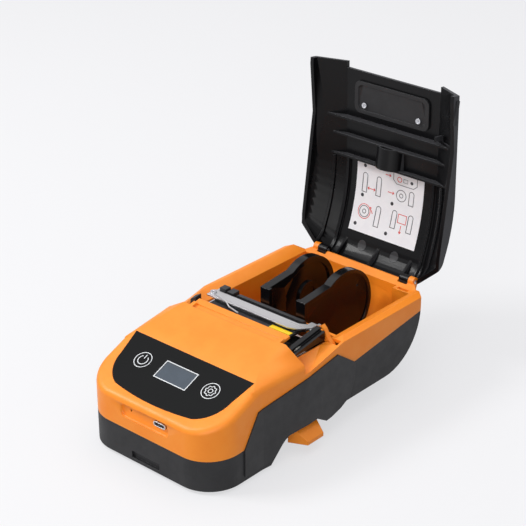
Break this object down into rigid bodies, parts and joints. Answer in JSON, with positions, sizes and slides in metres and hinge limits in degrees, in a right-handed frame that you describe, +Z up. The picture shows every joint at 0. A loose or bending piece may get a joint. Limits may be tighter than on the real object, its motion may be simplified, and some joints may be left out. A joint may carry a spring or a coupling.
{
  "type": "portable label printer",
  "caption": "Portable thermal label printer with an open rear-hinged lid, a roll bay with sliding roll guides, a print mechanism and a side latch.",
  "frame": {"origin": "on the table plane the feet stand on, below the middle of the case", "axes": "+X to the printer's right seen from its front, +Y to the hinge at the back, +Z up"},
  "size_m": [0.105, 0.2045, 0.1645],
  "materials": {
    "orange_shell": "moulded ABS, fine matte grain, orange",
    "dark_shell": "moulded ABS, fine matte grain, charcoal",
    "dark_panel": "moulded ABS side panel, fine matte grain",
    "black_gloss": "glossy black plastic",
    "panel_film": "printed polycarbonate film over the display and the keys",
    "white_acetal": "natural acetal gears and racks",
    "steel": "bright pressed and turned steel",
    "zinc_screw": "zinc-plated screws",
    "motor_can": "motor can in plated steel",
    "head_aluminium": "extruded aluminium heat sink",
    "head_ceramic": "glazed ceramic heater plate",
    "platen_rubber": "black platen rubber",
    "foot_rubber": "moulded rubber",
    "black_plastic": "black moulded plastic",
    "yellow_strip": "plain yellow plastic strip",
    "paper_label": "white printed sheet",
    "circuit_board": "green circuit board",
    "display_glass": "small display",
    "battery_wrap": "shrink-wrapped cells"
  },
  "bodies": {
    "case": {"top_case": "orange_shell", "bottom_case": "dark_shell", "side_panel_right": "dark_panel", "side_panel_left": "dark_panel", "battery_cover_pin": "steel", "latch_pin": "steel", "latch_spring": "steel", "rack_pin": "steel", "mech_frame": "steel", "platen_bushes": "white_acetal", "idler_pin": "steel", "stepper_motor": "motor_can", "head_bracket": "steel", "bracket_screw": "zinc_screw", "head_spring": "steel", "head_pin": "steel", "entry_bar": "black_plastic", "sensor_blocks": "black_plastic", "gear_cover": "black_gloss", "plunger_spring": "steel", "lid_switch": "black_plastic", "case_screws": "zinc_screw", "rubber_feet": "foot_rubber", "main_board": "circuit_board", "usb_socket": "steel", "battery_pack": "battery_wrap", "display_module": "display_glass", "key_board": "circuit_board", "touch_springs": "steel", "control_panel": "panel_film", "hinge_pins": "steel"},
    "lid": {"lid": "dark_shell", "lid_insert": "dark_shell", "lid_screws": "zinc_screw", "instruction_sheet": "paper_label", "lid_bumper": "foot_rubber"},
    "battery_cover": {"battery_cover": "dark_shell"},
    "latch": {"latch_lever": "orange_shell"},
    "guide_right": {"roll_guide_right": "black_gloss", "guide_rack_right": "white_acetal"},
    "guide_left": {"roll_guide_left": "black_gloss", "guide_rack_left": "white_acetal"},
    "rack_wheel": {"rack_pinion": "white_acetal"},
    "platen": {"platen_roller": "platen_rubber", "platen_shaft": "steel", "platen_gear": "white_acetal"},
    "idler": {"idler_gear": "white_acetal"},
    "motor_rotor": {"motor_pinion": "white_acetal", "motor_shaft": "steel"},
    "head": {"heat_sink": "head_aluminium", "print_head": "head_ceramic", "caution_strip": "yellow_strip"},
    "plunger": {"lid_plunger": "dark_panel"}
  },
  "joints": [
    {"name": "lid_hinge", "type": "hinge", "parent": "case", "child": "lid", "pos_m": [0, 0.09, 0.053], "axis": [1, 0, 0], "range_deg": [0, 98]},
    {"name": "battery_cover_hinge", "type": "hinge", "parent": "case", "child": "battery_cover", "pos_m": [0, -0.042, 0.0038], "axis": [1, 0, 0], "range_deg": [0, 75]},
    {"name": "latch_pivot", "type": "hinge", "parent": "case", "child": "latch", "pos_m": [0.0442, -0.008, 0.032], "axis": [0, 1, 0], "range_deg": [0, 4], "stiffness_Nm_per_rad": 0.05, "springref_deg": -5.73},
    {"name": "guide_right_slide", "type": "slide", "parent": "case", "child": "guide_right", "axis": [1, 0, 0], "range_m": [0, 0.02]},
    {"name": "guide_left_slide", "type": "slide", "parent": "case", "child": "guide_left", "axis": [-1, 0, 0], "range_m": [0, 0.02]},
    {"name": "rack_pinion_turn", "type": "hinge", "parent": "case", "child": "rack_wheel", "pos_m": [0, 0.053, 0.0079], "axis": [0, 0, 1], "range_deg": [-240, 0]},
    {"name": "platen_turn", "type": "hinge", "parent": "case", "child": "platen", "pos_m": [0, -0.014, 0.0485], "axis": [1, 0, 0], "continuous": true},
    {"name": "idler_turn", "type": "hinge", "parent": "case", "child": "idler", "pos_m": [0.037, -0.01102, 0.03319], "axis": [1, 0, 0], "continuous": true},
    {"name": "motor_turn", "type": "hinge", "parent": "case", "child": "motor_rotor", "pos_m": [0.037, -0.01762, 0.02176], "axis": [1, 0, 0], "continuous": true},
    {"name": "head_tilt", "type": "hinge", "parent": "case", "child": "head", "pos_m": [0, 0.004, 0.056], "axis": [-1, 0, 0], "range_deg": [0, 2], "stiffness_Nm_per_rad": 0.3, "springref_deg": -2.86},
    {"name": "plunger_press", "type": "slide", "parent": "case", "child": "plunger", "axis": [0, 0, -1], "range_m": [0, 0.0012], "stiffness_N_per_m": 300, "springref_m": -0.002, "deforming": ["plunger_spring"]}
  ],
  "couplings": [
    {"joint": "guide_left_slide", "follows": "guide_right_slide", "ratio": 1},
    {"joint": "rack_pinion_turn", "follows": "guide_right_slide", "rad_per_m": -208.33},
    {"joint": "idler_turn", "follows": "platen_turn", "ratio": -0.625},
    {"joint": "motor_turn", "follows": "platen_turn", "ratio": 1.6667}
  ]
}
